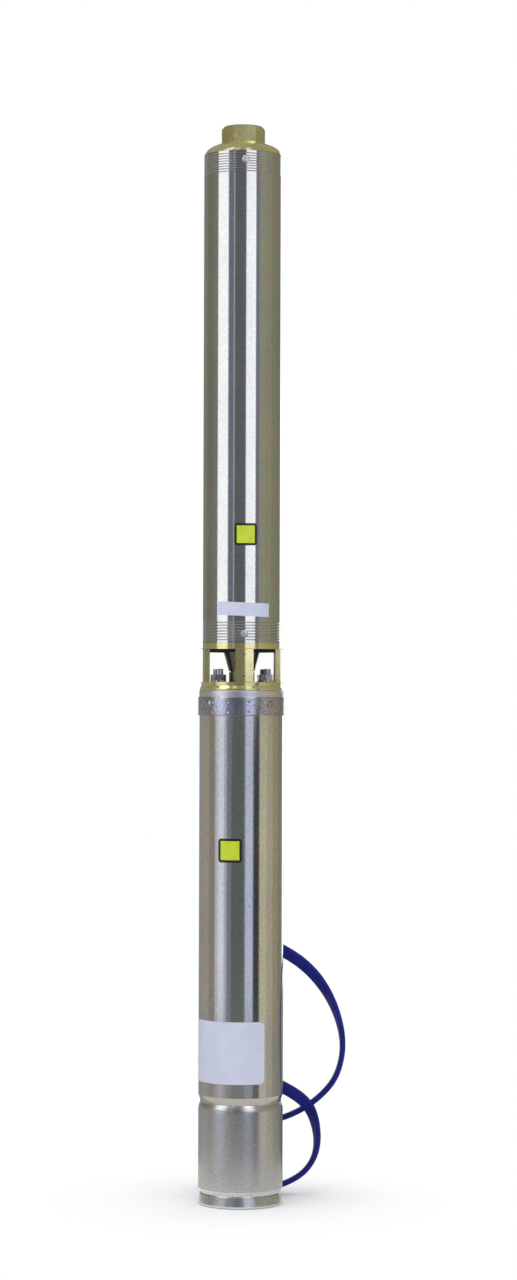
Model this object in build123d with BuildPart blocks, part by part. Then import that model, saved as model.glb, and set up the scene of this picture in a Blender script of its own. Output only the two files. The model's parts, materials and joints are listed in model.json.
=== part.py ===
from build123d import *
import math
import os

# Borehole submersible pump: a multistage pump end on a canned motor, standing on the motor's foot.
# The axis is Z, the foot is at z = 0 and one intake column faces -Y. Sizes are in millimetres.

# Motor shell
motor_od = 96.0
motor_wall = 1.5
motor_shell_top = 574.2
foot_r = 46.5
foot_in_r = 43.0
lip_r = 48.1
lip_z = 2.6
low_groove_z = 14.5
high_groove_z = 115.5
groove_depth = 2.2
shoulder_h = 11.0
groove_run_out = 8.5

# Motor top
flange_r = 48.2
flange_h = 7.7
flange_round = 1.6
spigot_h = 28.0
register_r = 43.65
register_h = 1.8
stud_circle_r = 38.1
stud_r = 4.0
stud_grip = 12.0
stud_end = 606.0
nut_af = 13.0
nut_h = 6.8
nut_flange_r = 7.3
nut_flange_h = 1.7
band_h = 21.0
band_wall = 1.4
band_screw_azimuth = 36.0
band_screw_drop = 8.0
screw_r = 2.0
screw_head_r = 4.4
screw_head_h = 1.5
sunk_head_r = 3.8
sunk_head_depth = 0.2

# Motor inside
motor_shaft_r = 12.5
seal_seat_r = 10.0
shaft_projection = 38.1
spline_teeth = 14
spline_r = 7.7
spline_root_r = 6.5
stator_bore_r = 27.6
air_gap = 0.6
stack_bottom = 185.0
stack_top = 435.0
slot_count = 18
slot_w = 4.2
slot_depth = 11.0
end_turn_h = 32.0
end_turn_wall = 13.0
end_ring_h = 9.0
motor_bearing_r = 17.0
motor_bearing_h = 20.0
housing_top = 138.0
housing_bottom = 29.0
housing_wall = 9.0
runner_r = 27.0
runner_h = 9.0
pad_count = 6
pad_h = 8.0
pad_gap = 5.0
pad_in_r = 14.0
carrier_h = 8.0
plug_h = 9.0
thrust_z = 80.0
diaphragm_wall = 2.0
diaphragm_r = 27.0
diaphragm_h = 17.0
cap_h = 24.0
cap_wall = 4.5

# Intake bracket
foot_flare_r = 47.5
bracket_ring_r = 46.0
bracket_ring_h = 9.2
window_h = 37.3
upper_ring_h = 6.7
bracket_spigot_h = 33.0
column_w = 20.4
column_t = 6.0
flange_in_r = 30.0
hub_tip_r = 14.7
hub_r = 20.4
hub_tip_z = 603.5
hub_full_z = 624.0
hub_wall = 2.0
web_t = 5.0
bush_wall = 3.0
bush_h = 14.0

# Coupling
coupling_r = 14.5
coupling_skirt_h = 12.5
coupling_top = 648.0
running_gap = 0.05

# Pump shell
pump_od = 88.9
pump_wall = 1.5
pump_shell_len = 555.8
rib_pitch = 3.0
rib_count = 7
rib_depth = 0.5
top_rib_inset = 7.0
low_rib_inset = 5.4
shell_screw_inset = 10.3

# Pump stages
stage_count = 6
bowl_wall = 2.2
suction_plate_h = 6.0
shaft_af = 11.0
impeller_r = 34.0
impeller_disc = 2.0
blade_count = 6
blade_h = 9.0
blade_t = 1.6
blade_root_r = 13.0
blade_sweep = 75.0
hub_sleeve_r = 9.5
impeller_lift = 3.0
diffuser_r = 31.0
diffuser_top_r = 17.0
diffuser_gap = 3.0
vane_count = 5
vane_t = 2.0
vane_sweep = 50.0
sleeve_r = 8.5

# Top bearing and discharge head
carrier_ring_h = 16.0
carrier_ring_wall = 4.5
carrier_arm_t = 5.0
head_spigot_h = 41.0
dome_h = 10.2
dome_top_r = 33.5
neck_r = 24.5
boss_af = 42.8
boss_h = 19.0
total_h = 1224.0
port_r = 15.15
port_len = 20.0
throat_h = 6.0
chamber_r = 27.0
chamber_cone_h = 10.0
seat_h = 5.0
seat_r = 36.0
seat_bore_r = 17.0
poppet_r = 21.0
poppet_h = 3.6
stem_r = 3.5
stem_len = 28.0
guide_h = 8.0
guide_boss_r = 7.0
guide_ring_wall = 3.0
guide_arm_t = 3.0
valve_lift = 10.0

# Motor lead and gland
gland_azimuth = 46.0
gland_w = 20.0
gland_h = 14.0
gland_reach = 10.8
gland_round = 5.0
gland_stub_r = 2.5
gland_stub_len = 4.0
lead_d = 8.0
lead_start_r = 54.2
core_d = 2.4
core_len = 45.0
core_pitch = 2.7
core_count = 3

# Clearances
fit = 0.1
seat_gap = 0.05

# Levels and radii that follow
shell_screw_azimuths = (-90, 90)
band_screw_azimuths = [band_screw_azimuth + 90 * quarter for quarter in range(4)]
motor_r = motor_od / 2
motor_in_r = motor_r - motor_wall
motor_face = motor_shell_top + 0.1 + flange_h
pump_r = pump_od / 2
pump_in_r = pump_r - pump_wall
window_z0 = motor_face + bracket_ring_h
window_z1 = window_z0 + window_h
shell_z0 = window_z1 + upper_ring_h
shell_z1 = shell_z0 + pump_shell_len
bracket_top = shell_z0 + bracket_spigot_h
column_in_r = pump_r - column_t
head_z0 = shell_z1 - head_spigot_h
carrier_z1 = head_z0
carrier_z0 = carrier_z1 - carrier_ring_h
stack_z0 = bracket_top + suction_plate_h
stage_pitch = (carrier_z0 - stack_z0) / stage_count
shaft_end = motor_face + shaft_projection
band_z0 = motor_shell_top + 0.1 - band_h
band_in_r = motor_r + seat_gap
band_r = band_in_r + band_wall
band_screw_z = band_z0 + band_h - band_screw_drop
shell_screw_levels = (shell_z0 + shell_screw_inset, shell_z1 - shell_screw_inset)
sunk_slope = (sunk_head_r - screw_r) / (pump_wall - sunk_head_depth)
coupling_z0 = hub_tip_z - 1.0 - coupling_skirt_h
hub_bore_r = hub_tip_r - hub_wall
coupling_neck_r = hub_bore_r - 0.3
bush_r = sleeve_r + running_gap + bush_wall
bush_z0 = bracket_top - bush_h
pump_shaft_z0 = shaft_end + 1.0
pump_shaft_z1 = carrier_z1 - 1.0

os.makedirs("parts", exist_ok=True)


def turn(*points, mode=Mode.ADD):
    """A closed outline of (radius, height) points, turned about Z."""
    with BuildSketch(Plane.XZ) as outline:
        with BuildLine():
            Polyline(*points, close=True)
        make_face()
    revolve(outline.sketch, axis=Axis.Z, mode=mode)


def ring(r_in, r_out, z0, z1, mode=Mode.ADD):
    """A plain ring between two radii and two heights."""
    turn((r_in, z0), (r_out, z0), (r_out, z1), (r_in, z1), mode=mode)


def bar(r_in, r_out, width, z0, z1, count, start=0.0):
    """Straight bars that run outward from r_in to r_out, spaced round the axis."""
    with BuildSketch(Plane.XY.offset(z0)) as plan:
        with PolarLocations((r_in + r_out) / 2, count, start_angle=start):
            Rectangle(r_out - r_in, width)
    extrude(plan.sketch, amount=z1 - z0)


def polar(radius, angle):
    a = math.radians(angle)
    return (radius * math.cos(a), radius * math.sin(a))


def blades(r_in, r_out, sweep, thickness, count, z0, z1):
    """Blades that curve back by sweep degrees between two radii."""
    with BuildSketch(Plane.XY.offset(z0)) as plan:
        for i in range(count):
            start = 360 / count * i
            with BuildLine() as camber:
                ThreePointArc(
                    polar(r_in, start),
                    polar((r_in + r_out) / 2, start + sweep * 0.38),
                    polar(r_out, start + sweep),
                )
            trace(camber.line, line_width=thickness)
    extrude(plan.sketch, amount=z1 - z0)


def radial(azimuth, height):
    """A plane that looks outward at an azimuth, centred on the axis at a height."""
    a = math.radians(azimuth)
    return Plane(origin=(0, 0, height), x_dir=(-math.sin(a), math.cos(a), 0), z_dir=(math.cos(a), math.sin(a), 0))


def radial_pin(azimuth, height, radius, r_in, r_out, mode=Mode.ADD):
    """A round bar or hole that points outward from r_in to r_out."""
    with BuildSketch(radial(azimuth, height).offset(r_in)) as spot:
        Circle(radius)
    extrude(spot.sketch, amount=r_out - r_in, mode=mode)


def radial_cone(azimuth, height, narrow_r, wide_r, r_in, r_out, mode=Mode.ADD):
    """A cone that points outward and widens from r_in to r_out."""
    with Locations(radial(azimuth, height).offset(r_in)):
        Cone(narrow_r, wide_r, r_out - r_in, align=(Align.CENTER, Align.CENTER, Align.MIN), mode=mode)


def splined(r_tip, r_root, z0, z1, mode=Mode.ADD):
    """A splined bar: straight teeth from r_root to r_tip."""
    tooth = math.pi * r_tip / spline_teeth
    with BuildSketch(Plane.XY.offset(z0)) as section:
        RegularPolygon(r_root, spline_teeth * 2)
        with PolarLocations(r_root - 1.0 + (r_tip - r_root + 1.0) / 2, spline_teeth):
            Rectangle(r_tip - r_root + 1.0, tooth * 0.9)
    extrude(section.sketch, amount=z1 - z0, mode=mode)


def save(piece, name):
    piece.part.label = name
    export_step(piece.part, f"parts/{name}.step")


# Discharge head: brass, domed, with a hexagon boss round a female pipe thread
head_r = pump_in_r - seat_gap
dome_z = shell_z1 + dome_h
boss_z0 = total_h - boss_h
boss_ac_r = boss_af / math.sqrt(3)
throat_z0 = total_h - port_len - throat_h
chamber_z1 = throat_z0 - chamber_cone_h
with BuildPart() as discharge_head:
    with BuildSketch(Plane.XZ):
        with BuildLine():
            Polyline((chamber_r, head_z0 + seat_h), (seat_r, head_z0 + seat_h), (seat_r, head_z0))
            Polyline((seat_r, head_z0), (head_r, head_z0), (head_r, shell_z1), (pump_r, shell_z1))
            ThreePointArc((pump_r, shell_z1), (40.9, shell_z1 + 5.6), (dome_top_r, dome_z))
            Polyline((dome_top_r, dome_z), (neck_r, boss_z0), (port_r, boss_z0), (port_r, throat_z0))
            Polyline((port_r, throat_z0), (chamber_r, chamber_z1), (chamber_r, head_z0 + seat_h))
        make_face()
    revolve(axis=Axis.Z)
    with BuildSketch(Plane.XY.offset(boss_z0 - 0.5)):
        RegularPolygon(boss_ac_r, 6, rotation=0)
        Circle(port_r, mode=Mode.SUBTRACT)
    extrude(amount=boss_h + 0.5)
    chamfer_r = boss_af / 2 + 0.4
    chamfer_fall = (boss_ac_r - chamfer_r) * 1.1
    turn(
        (chamfer_r, total_h + 0.01),
        (boss_ac_r + 1, total_h + 0.01),
        (boss_ac_r + 1, total_h - chamfer_fall - 1.1),
        mode=Mode.SUBTRACT,
    )
    for azimuth in shell_screw_azimuths:
        radial_pin(azimuth, shell_screw_levels[1], screw_r + fit, head_r - 6, head_r + 1, Mode.SUBTRACT)
save(discharge_head, "discharge_head")

# Valve seat: a ring clamped between the head and the bearing carrier
poppet_z0 = head_z0 + seat_h + 0.05
with BuildPart() as valve_seat:
    turn(
        (seat_bore_r, head_z0),
        (seat_r - fit, head_z0),
        (seat_r - fit, head_z0 + seat_h - 0.05),
        (seat_bore_r + 1.5, head_z0 + seat_h - 0.05),
        (seat_bore_r, head_z0 + seat_h - 1.5),
    )
save(valve_seat, "valve_seat")

# Non-return valve: a poppet that the flow lifts and its weight closes
poppet_z1 = poppet_z0 + poppet_h
stem_top = poppet_z1 + stem_len
with BuildPart() as check_valve:
    turn(
        (0, poppet_z0),
        (poppet_r, poppet_z0),
        (poppet_r, poppet_z0 + 1.4),
        (stem_r + 2, poppet_z1),
        (stem_r, poppet_z1 + 1),
        (stem_r, stem_top),
        (0, stem_top),
    )
save(check_valve, "check_valve")

# Valve guide: a spider pressed into the head's chamber
guide_z0 = poppet_z1 + valve_lift + 3.0
with BuildPart() as valve_guide:
    ring(chamber_r - guide_ring_wall, chamber_r - seat_gap, guide_z0, guide_z0 + guide_h)
    bar(guide_boss_r - 2, chamber_r - guide_ring_wall + 1, guide_arm_t, guide_z0, guide_z0 + guide_h, 3)
    ring(stem_r + running_gap, guide_boss_r, guide_z0, guide_z0 + guide_h)
save(valve_guide, "valve_guide")

# Pump shell: a thin tube with rolled grooves at both ends
with BuildPart() as pump_shell:
    groove_z = [shell_z0 + low_rib_inset + i * rib_pitch for i in range(rib_count)]
    groove_z += [shell_z1 - top_rib_inset - i * rib_pitch for i in reversed(range(rib_count))]
    outer = []
    for z in groove_z:
        outer += [(pump_r, z - rib_pitch / 2), (pump_r - rib_depth, z), (pump_r, z + rib_pitch / 2)]
    distinct = [p for i, p in enumerate(outer) if i == 0 or p != outer[i - 1]]
    turn((pump_in_r, shell_z0), (pump_r, shell_z0), *distinct, (pump_r, shell_z1), (pump_in_r, shell_z1))
    for azimuth in shell_screw_azimuths:
        for z in shell_screw_levels:
            radial_pin(azimuth, z, screw_r + fit, pump_in_r - 1, pump_r + 1, Mode.SUBTRACT)
            hole_top = pump_r + 0.5
            hole_r = screw_r + fit + sunk_slope * (hole_top - pump_in_r)
            radial_cone(azimuth, z, screw_r + fit, hole_r, pump_in_r, hole_top, Mode.SUBTRACT)
save(pump_shell, "pump_shell")

# Shell screws: countersunk, so that a clamp or sleeve slides over them; they lock the tube to head and bracket
with BuildPart() as shell_screws:
    for azimuth in shell_screw_azimuths:
        for z in shell_screw_levels:
            radial_pin(azimuth, z, screw_r, pump_in_r - 5, pump_in_r + 0.1)
            radial_cone(azimuth, z, screw_r, sunk_head_r, pump_in_r, pump_r - sunk_head_depth)
save(shell_screws, "shell_screws")

# Intake bracket: brass casting with four columns, four windows and the hub of the lower bearing
with BuildPart() as intake_bracket:
    turn(
        (register_r + seat_gap, motor_face),
        (foot_flare_r, motor_face),
        (foot_flare_r, motor_face + 1.8),
        (bracket_ring_r, motor_face + 5.0),
        (bracket_ring_r, window_z0),
        (flange_in_r, window_z0),
        (flange_in_r, motor_face + register_h + 0.1),
        (register_r + seat_gap, motor_face + register_h + 0.1),
    )
    with BuildSketch(Plane.XY.offset(window_z0 - 0.5)):
        with PolarLocations(pump_r - column_t / 2, 4):
            Rectangle(column_t * 1.6, column_w)
        Circle(column_in_r, mode=Mode.SUBTRACT)
    extrude(amount=window_h + 1.0)
    ring(pump_r, 2 * pump_r, window_z0, window_z1, Mode.SUBTRACT)
    turn(
        (column_in_r, window_z1),
        (pump_r, window_z1),
        (pump_r, shell_z0),
        (head_r, shell_z0),
        (head_r, bracket_top),
        (column_in_r, bracket_top),
    )
    turn(
        (hub_bore_r, hub_tip_z),
        (hub_tip_r, hub_tip_z),
        (hub_r, hub_full_z),
        (hub_r, shell_z0 + 4),
        (bush_r + 4, bracket_top),
        (bush_r, bracket_top),
        (bush_r, bush_z0),
        (hub_bore_r, bush_z0 - 2),
    )
    bar(bush_r + 2.5, column_in_r + 1, web_t, window_z1, bracket_top - 6, 4)
    with BuildSketch(Plane.XY.offset(motor_face)) as stud_holes:
        with PolarLocations(stud_circle_r, 4, start_angle=45):
            Circle(stud_r + 0.3)
    extrude(stud_holes.sketch, amount=bracket_ring_h + 1, mode=Mode.SUBTRACT)
    for azimuth in shell_screw_azimuths:
        radial_pin(azimuth, shell_screw_levels[0], screw_r + fit, head_r - 6, head_r + 1, Mode.SUBTRACT)
save(intake_bracket, "intake_bracket")

# Studs and flanged nuts that hold the bracket to the motor
stud_z0 = motor_face - stud_grip
with BuildPart() as motor_studs:
    with BuildSketch(Plane.XY.offset(stud_z0)):
        with PolarLocations(stud_circle_r, 4, start_angle=45):
            Circle(stud_r)
    extrude(amount=stud_end - stud_z0)
save(motor_studs, "motor_studs")

with BuildPart() as stud_nuts:
    with BuildSketch(Plane.XY.offset(window_z0)) as washer_faces:
        with PolarLocations(stud_circle_r, 4, start_angle=45):
            Circle(nut_flange_r)
    extrude(amount=nut_flange_h)
    with BuildSketch(Plane.XY.offset(window_z0 + nut_flange_h)) as nut_faces:
        with PolarLocations(stud_circle_r, 4, start_angle=45):
            RegularPolygon(nut_af / 2, 6, major_radius=False)
    extrude(amount=nut_h)
    with BuildSketch(Plane.XY.offset(window_z0)) as nut_bores:
        with PolarLocations(stud_circle_r, 4, start_angle=45):
            Circle(stud_r + seat_gap)
    extrude(nut_bores.sketch, amount=nut_flange_h + nut_h, mode=Mode.SUBTRACT)
save(stud_nuts, "stud_nuts")

# Rubber bushes, one in the bracket's hub and one in the bearing carrier
with BuildPart() as lower_bush:
    ring(sleeve_r + running_gap, bush_r, bush_z0, bracket_top)
save(lower_bush, "lower_bush")

# Suction plate: closes the bracket's top round the first impeller's eye
with BuildPart() as suction_plate:
    ring(diffuser_r - 3, head_r, bracket_top, stack_z0)
save(suction_plate, "suction_plate")

# Stage bowls: an outer wall, a tapered core and curved vanes that bring the flow to the next eye
wall_r = head_r - bowl_wall
with BuildPart() as stage_bowls:
    for stage in range(stage_count):
        z0 = stack_z0 + stage * stage_pitch
        core_z0 = z0 + impeller_lift + blade_h + impeller_disc + diffuser_gap
        core_z1 = z0 + stage_pitch - 2.0
        ring(wall_r, head_r, z0 + seat_gap, z0 + stage_pitch)
        turn(
            (hub_sleeve_r + 0.4, core_z0),
            (diffuser_r, core_z0),
            (diffuser_top_r, core_z1),
            (hub_sleeve_r + 0.4, core_z1),
        )
        blades(diffuser_top_r - 2, wall_r + 0.6, vane_sweep, vane_t, vane_count, core_z0 + 6, core_z1 - 6)
save(stage_bowls, "stage_bowls")

# Impellers: curved blades under a disc, on a sleeve that reaches the next impeller
with BuildPart() as impellers:
    for stage in range(stage_count):
        z0 = stack_z0 + stage * stage_pitch
        disc_z = z0 + impeller_lift + blade_h
        with BuildSketch(Plane.XY.offset(z0 + seat_gap)) as sleeve_face:
            Circle(hub_sleeve_r)
            RegularPolygon(shaft_af / 2 + seat_gap, 6, major_radius=False, mode=Mode.SUBTRACT)
        extrude(sleeve_face.sketch, amount=stage_pitch - seat_gap)
        ring(hub_sleeve_r - 1, impeller_r, disc_z, disc_z + impeller_disc)
        blades(blade_root_r, impeller_r - 0.3, blade_sweep, blade_t, blade_count, disc_z - blade_h, disc_z)
save(impellers, "impellers")

# Pump shaft: a hexagon bar through every impeller
with BuildPart() as pump_shaft:
    with BuildSketch(Plane.XY.offset(pump_shaft_z0)):
        RegularPolygon(shaft_af / 2, 6, major_radius=False)
    extrude(amount=pump_shaft_z1 - pump_shaft_z0)
save(pump_shaft, "pump_shaft")

# Journal sleeves: round outside and hexagonal inside, where the shaft runs in its bushes
sleeve_z0 = coupling_top + 0.5
with BuildPart() as journal_sleeves:
    for z0, z1 in ((sleeve_z0, stack_z0), (carrier_z0 + seat_gap, pump_shaft_z1)):
        with BuildSketch(Plane.XY.offset(z0)) as sleeve_face:
            Circle(sleeve_r)
            RegularPolygon(shaft_af / 2 + seat_gap, 6, major_radius=False, mode=Mode.SUBTRACT)
        extrude(sleeve_face.sketch, amount=z1 - z0)
save(journal_sleeves, "journal_sleeves")

# Shaft screw: its washer head holds the stack of sleeves and impellers on the shaft
with BuildPart() as shaft_screw:
    ring(0, sleeve_r + 1.5, pump_shaft_z1 + seat_gap, pump_shaft_z1 + 3.5)
save(shaft_screw, "shaft_screw")

# Bearing carrier: a ring with arms and a hub at the top of the stages
with BuildPart() as bearing_carrier:
    ring(head_r - carrier_ring_wall, head_r, carrier_z0, carrier_z1)
    bar(bush_r + 2, head_r - carrier_ring_wall + 1, carrier_arm_t, carrier_z0, carrier_z1 - 3, 4)
    ring(bush_r, bush_r + 4, carrier_z0 + 0.4, carrier_z1 - 3)
save(bearing_carrier, "bearing_carrier")

with BuildPart() as upper_bush:
    ring(sleeve_r + running_gap, bush_r, carrier_z0 + 0.4, carrier_z1 - 3)
save(upper_bush, "upper_bush")

# Coupling: a stepped sleeve, splined on the motor's shaft and hexagonal on the pump's
with BuildPart() as shaft_coupling:
    turn(
        (0, coupling_z0),
        (coupling_r, coupling_z0),
        (coupling_r, coupling_z0 + coupling_skirt_h),
        (coupling_neck_r, coupling_z0 + coupling_skirt_h),
        (coupling_neck_r, coupling_top),
        (0, coupling_top),
    )
    splined(spline_r + fit, spline_root_r + fit, coupling_z0, pump_shaft_z0, Mode.SUBTRACT)
    with BuildSketch(Plane.XY.offset(pump_shaft_z0)) as socket:
        RegularPolygon(shaft_af / 2 + seat_gap, 6, major_radius=False)
    extrude(socket.sketch, amount=coupling_top - pump_shaft_z0, mode=Mode.SUBTRACT)
save(shaft_coupling, "shaft_coupling")

# Motor shaft: plain journals, with a splined end above the motor's face
runner_z1 = thrust_z + runner_h
seal_z0 = motor_face - 8.0
shaft_z0 = thrust_z - 6.0
with BuildPart() as motor_shaft:
    turn(
        (0, shaft_z0),
        (motor_shaft_r, shaft_z0),
        (motor_shaft_r, seal_z0 - 2),
        (seal_seat_r, seal_z0 - 2),
        (seal_seat_r, coupling_z0 - 0.5),
        (0, coupling_z0 - 0.5),
    )
    splined(spline_r, spline_root_r, coupling_z0 - 1, shaft_end)
save(motor_shaft, "motor_shaft")

# Rotor: laminated core with a ring of aluminium at each end
rotor_r = stator_bore_r - air_gap
with BuildPart() as rotor_core:
    ring(motor_shaft_r + seat_gap, rotor_r, stack_bottom, stack_top)
save(rotor_core, "rotor_core")

with BuildPart() as rotor_end_rings:
    for z0, z1 in ((stack_bottom - end_ring_h, stack_bottom), (stack_top, stack_top + end_ring_h)):
        ring(motor_shaft_r + 4, rotor_r - 0.5, z0, z1)
save(rotor_end_rings, "rotor_end_rings")

# Stator: slotted core in the shell, and the winding that fills the slots and turns over at both ends
stator_r = motor_in_r - fit
slot_mid = stator_bore_r + slot_depth / 2
with BuildPart() as stator_core:
    with BuildSketch(Plane.XY.offset(stack_bottom)):
        Circle(stator_r)
        Circle(stator_bore_r, mode=Mode.SUBTRACT)
        with PolarLocations(slot_mid, slot_count):
            Rectangle(slot_depth + 2, slot_w, mode=Mode.SUBTRACT)
    extrude(amount=stack_top - stack_bottom)
save(stator_core, "stator_core")

coil_in_r = stator_bore_r + 1.5
coil_w = slot_w - 4 * fit
with BuildPart() as stator_winding:
    bar(coil_in_r + 1, slot_mid + slot_depth / 2, coil_w, stack_bottom - 2, stack_top + 2, slot_count)
    for z0, z1 in ((stack_bottom - 1, stack_bottom - end_turn_h), (stack_top + 1, stack_top + end_turn_h)):
        slope = (z1 - z0) * 0.3
        turn(
            (coil_in_r, z0),
            (coil_in_r + end_turn_wall - 2, z0),
            (coil_in_r + end_turn_wall, z0 + slope),
            (coil_in_r + end_turn_wall, z1 - slope),
            (coil_in_r + end_turn_wall - 3, z1),
            (coil_in_r + 2, z1),
        )
save(stator_winding, "stator_winding")

# Motor shell: a thin can, curled in at the foot and rolled into two grooves
groove_r = motor_r - groove_depth
groove_in_r = groove_r - motor_wall
with BuildPart() as motor_shell:
    with BuildSketch(Plane.XZ):
        with BuildLine():
            Line((foot_in_r, 0), (foot_r, 0))
            RadiusArc((foot_r, 0), (lip_r, lip_z), -2.6)
            Line((lip_r, lip_z), (groove_r + 0.3, low_groove_z - 2.5))
            RadiusArc((groove_r + 0.3, low_groove_z - 2.5), (groove_r + 0.3, low_groove_z + 1.5), 2.4)
            Line((groove_r + 0.3, low_groove_z + 1.5), (motor_r, low_groove_z + 4.0))
            Line((motor_r, low_groove_z + 4.0), (motor_r, high_groove_z - shoulder_h))
            ThreePointArc(
                (motor_r, high_groove_z - shoulder_h),
                (motor_r - groove_depth * 0.32, high_groove_z - shoulder_h * 0.35),
                (groove_r, high_groove_z),
            )
            ThreePointArc(
                (groove_r, high_groove_z),
                (groove_r + 0.45, high_groove_z + groove_run_out * 0.4),
                (motor_r, high_groove_z + groove_run_out),
            )
            Polyline(
                (motor_r, high_groove_z + groove_run_out),
                (motor_r, motor_shell_top),
                (motor_in_r, motor_shell_top),
                (motor_in_r, high_groove_z + groove_run_out),
                (groove_in_r, high_groove_z + 1),
                (groove_in_r, high_groove_z - 1),
                (motor_in_r, high_groove_z - shoulder_h),
                (motor_in_r, low_groove_z + 4.5),
                (groove_in_r, low_groove_z),
                (foot_r - 0.3, lip_z + 0.5),
                (foot_r - 1.5, motor_wall),
                (foot_in_r, motor_wall),
                (foot_in_r, 0),
            )
        make_face()
    revolve(axis=Axis.Z)
    for azimuth in band_screw_azimuths:
        radial_pin(azimuth, band_screw_z, screw_r + fit, motor_in_r - 1, motor_r + 1, Mode.SUBTRACT)
save(motor_shell, "motor_shell")

# Upper end bell: carries the top bearing, the seal and the studs
bell_z0 = motor_shell_top + 0.1 - spigot_h
flange_z0 = motor_shell_top + 0.1
spigot_r = motor_in_r - seat_gap
bearing_z1 = bell_z0 + motor_bearing_h
seal_r = motor_shaft_r + 3.5
with BuildPart() as upper_end_bell:
    with BuildSketch(Plane.XZ):
        with BuildLine():
            Polyline((motor_bearing_r, bell_z0), (motor_bearing_r + 6, bell_z0), (motor_bearing_r + 8, bell_z0 + 14))
            Polyline((motor_bearing_r + 8, bell_z0 + 14), (spigot_r - 5, bell_z0 + 14), (spigot_r - 4, bell_z0))
            Polyline((spigot_r - 4, bell_z0), (spigot_r, bell_z0), (spigot_r, flange_z0), (flange_r, flange_z0))
            Line((flange_r, flange_z0), (flange_r, motor_face - flange_round))
            CenterArc((flange_r - flange_round, motor_face - flange_round), flange_round, 0, 90)
            Polyline(
                (flange_r - flange_round, motor_face),
                (register_r, motor_face),
                (register_r, motor_face + register_h),
                (seal_r, motor_face + register_h),
                (seal_r, bearing_z1),
                (motor_bearing_r, bearing_z1),
                (motor_bearing_r, bell_z0),
            )
        make_face()
    revolve(axis=Axis.Z)
    with BuildSketch(Plane.XY.offset(stud_z0)) as stud_holes:
        with PolarLocations(stud_circle_r, 4, start_angle=45):
            Circle(stud_r + seat_gap)
    extrude(stud_holes.sketch, amount=stud_grip + register_h + 1, mode=Mode.SUBTRACT)
    for azimuth in band_screw_azimuths:
        radial_pin(azimuth, band_screw_z, screw_r + fit, spigot_r - 5, spigot_r + 1, Mode.SUBTRACT)
    radial_pin(gland_azimuth, flange_z0 + flange_h / 2, gland_stub_r + seat_gap, flange_r - gland_stub_len - 0.3, flange_r + 1, Mode.SUBTRACT)
save(upper_end_bell, "upper_end_bell")

# Retaining band over the joint of shell and end bell, with four screws
with BuildPart() as retaining_band:
    ring(band_in_r, band_r, band_z0, band_z0 + band_h)
    for azimuth in band_screw_azimuths:
        radial_pin(azimuth, band_screw_z, screw_r + fit, band_in_r - 1, band_r + 1, Mode.SUBTRACT)
save(retaining_band, "retaining_band")

with BuildPart() as band_screws:
    for azimuth in band_screw_azimuths:
        radial_pin(azimuth, band_screw_z, screw_r, spigot_r - 4, band_r + 0.2)
        radial_pin(azimuth, band_screw_z, screw_head_r, band_r, band_r + screw_head_h)
save(band_screws, "band_screws")

# Motor bearings and shaft seal
with BuildPart() as upper_motor_bearing:
    ring(motor_shaft_r + running_gap, motor_bearing_r - seat_gap, bell_z0, bearing_z1 - seat_gap)
save(upper_motor_bearing, "upper_motor_bearing")

with BuildPart() as shaft_seal:
    ring(seal_seat_r + 0.4, seal_r - seat_gap, seal_z0, seal_z0 + 4)
save(shaft_seal, "shaft_seal")

with BuildPart() as seal_head:
    ring(seal_seat_r + seat_gap, seal_r - 1.5, seal_z0 + 4.05, motor_face + register_h)
save(seal_head, "seal_head")

with BuildPart() as sand_slinger:
    turn(
        (seal_seat_r + seat_gap, motor_face + register_h + seat_gap),
        (seal_r + 4, motor_face + register_h + 0.6),
        (seal_r + 4, motor_face + register_h + 2.0),
        (seal_seat_r + seat_gap, coupling_z0 - 0.6),
    )
save(sand_slinger, "sand_slinger")

# Thrust housing: the lower end bell, with the lower bearing above and the thrust bearing below
housing_r = motor_in_r - fit
cavity_r = housing_r - housing_wall
housing_neck_z = high_groove_z - shoulder_h
lower_bearing_z0 = housing_top - motor_bearing_h
with BuildPart() as thrust_housing:
    turn(
        (cavity_r, housing_bottom),
        (housing_r, housing_bottom),
        (housing_r, housing_neck_z - 0.5),
        (groove_in_r - fit, high_groove_z - 1.6),
        (groove_in_r - fit, housing_top),
        (motor_bearing_r, housing_top),
        (motor_bearing_r, lower_bearing_z0 - 2),
        (cavity_r, lower_bearing_z0 - 12),
    )
save(thrust_housing, "thrust_housing")

with BuildPart() as lower_motor_bearing:
    ring(motor_shaft_r + running_gap, motor_bearing_r - seat_gap, lower_bearing_z0 - 2, housing_top)
save(lower_motor_bearing, "lower_motor_bearing")

with BuildPart() as thrust_runner:
    ring(motor_shaft_r + seat_gap, runner_r, thrust_z, runner_z1)
save(thrust_runner, "thrust_runner")

# Thrust pads: segments that the runner turns on, on a carrier held by a screwed plug
with BuildPart() as thrust_pads:
    with BuildSketch(Plane.XY.offset(thrust_z - seat_gap - pad_h)):
        Circle(runner_r)
        Circle(pad_in_r, mode=Mode.SUBTRACT)
        with PolarLocations((pad_in_r + runner_r) / 2, pad_count):
            Rectangle(runner_r - pad_in_r + 6, pad_gap, mode=Mode.SUBTRACT)
    extrude(amount=pad_h)
save(thrust_pads, "thrust_pads")

carrier_top = thrust_z - seat_gap - pad_h
plug_z0 = carrier_top - carrier_h - plug_h
with BuildPart() as pad_carrier:
    ring(0, runner_r + 2, carrier_top - carrier_h, carrier_top - seat_gap)
save(pad_carrier, "pad_carrier")

with BuildPart() as thrust_plug:
    ring(0, cavity_r - seat_gap, plug_z0, carrier_top - carrier_h)
save(thrust_plug, "thrust_plug")

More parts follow.
